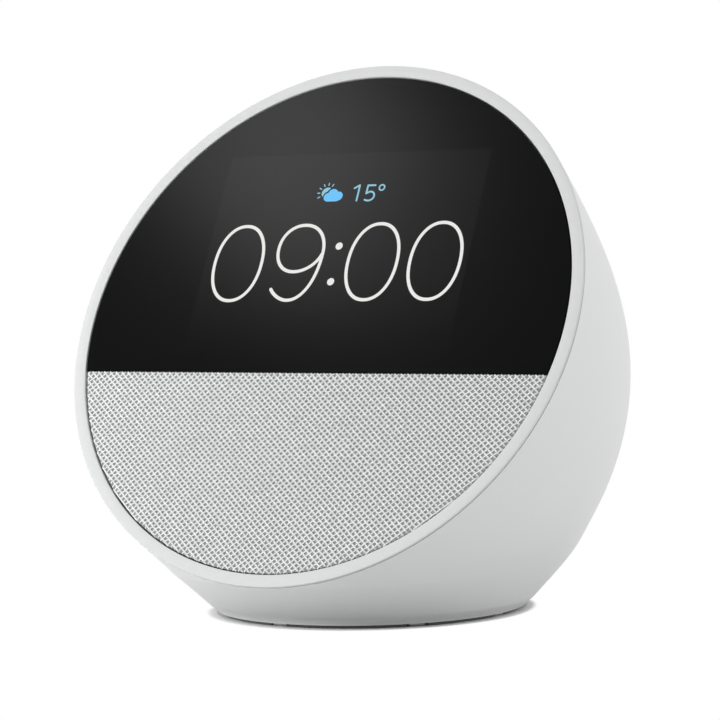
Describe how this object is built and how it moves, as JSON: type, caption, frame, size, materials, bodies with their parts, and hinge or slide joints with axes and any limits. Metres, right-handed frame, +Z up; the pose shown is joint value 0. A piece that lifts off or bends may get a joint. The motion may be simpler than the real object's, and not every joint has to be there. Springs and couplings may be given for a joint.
{
  "type": "smart alarm clock",
  "caption": "Round-faced table clock with a leaning half-glass, half-cloth face, loudspeaker, press buttons on top of the back and a rear power inlet.",
  "frame": {"origin": "on the table, under the middle of the whole object", "axes": "+Z up, the face looks towards -Y and leans back, +X to the right seen from the front"},
  "size_m": [0.1128, 0.0996, 0.1093],
  "materials": {
    "white_plastic": "fine matte moulded",
    "rim_plastic": "satin moulded",
    "grey_plastic": "matte moulded",
    "black_plastic": "matte moulded",
    "display_glass": "polished, black printed back",
    "panel_glass": "polished",
    "speaker_cloth": "open diagonal weave",
    "rubber": "matte",
    "foam": "matte foam",
    "light_guide": "milky",
    "circuit_board": "solder mask",
    "steel": "stamped",
    "aluminium": "extruded",
    "ferrite": "sintered",
    "copper": "wound wire",
    "cone_paper": "coated",
    "amber_film": "film"
  },
  "bodies": {
    "housing": {"rear_shell": "white_plastic", "front_bezel": "rim_plastic", "display_lens": "display_glass", "display_gasket": "foam", "lcd_panel": "panel_glass", "backlight_panel": "light_guide", "display_tray": "black_plastic", "display_ribbon": "amber_film", "grille_fabric": "speaker_cloth", "grille_panel": "black_plastic", "inner_chassis": "grey_plastic", "main_board": "circuit_board", "processor_shield": "steel", "heat_spreader": "aluminium", "base_plate": "grey_plastic", "speaker_gasket": "foam", "speaker_basket": "black_plastic", "speaker_surround": "rubber", "speaker_spider": "amber_film", "speaker_top_plate": "steel", "speaker_magnet": "ferrite", "speaker_yoke": "steel", "speaker_lead_left": "copper", "speaker_lead_right": "copper", "button_board": "circuit_board", "microphone_left": "rubber", "microphone_right": "rubber", "power_jack": "black_plastic", "jack_pin": "steel", "power_lead": "black_plastic", "foot_pad_1": "rubber", "foot_pad_2": "rubber", "foot_pad_3": "rubber", "foot_pad_4": "rubber", "foot_pad_5": "rubber", "foot_pad_6": "rubber", "foot_pad_7": "rubber", "foot_pad_8": "rubber", "volume_down_switch": "steel", "mic_mute_switch": "steel", "volume_up_switch": "steel"},
    "volume_down": {"volume_down_button": "white_plastic", "volume_down_plunger": "black_plastic"},
    "mic_mute": {"mic_mute_button": "white_plastic", "mic_mute_plunger": "black_plastic"},
    "volume_up": {"volume_up_button": "white_plastic", "volume_up_plunger": "black_plastic"},
    "cone": {"speaker_cone": "cone_paper", "speaker_dust_cap": "cone_paper", "speaker_voice_coil": "copper"}
  },
  "joints": [
    {"name": "volume_down_press", "type": "slide", "parent": "housing", "child": "volume_down", "axis": [0, -0.6878, -0.7259], "range_m": [0, 0.0005], "stiffness_N_per_m": 2000},
    {"name": "mic_mute_press", "type": "slide", "parent": "housing", "child": "mic_mute", "axis": [0, -0.6878, -0.7259], "range_m": [0, 0.0005], "stiffness_N_per_m": 2000},
    {"name": "volume_up_press", "type": "slide", "parent": "housing", "child": "volume_up", "axis": [0, -0.6878, -0.7259], "range_m": [0, 0.0005], "stiffness_N_per_m": 2000},
    {"name": "cone_drive", "type": "slide", "parent": "housing", "child": "cone", "axis": [0, -0.8846, 0.4664], "range_m": [-0.0015, 0.0015], "stiffness_N_per_m": 1000, "deforming": ["speaker_surround", "speaker_spider"]}
  ]
}
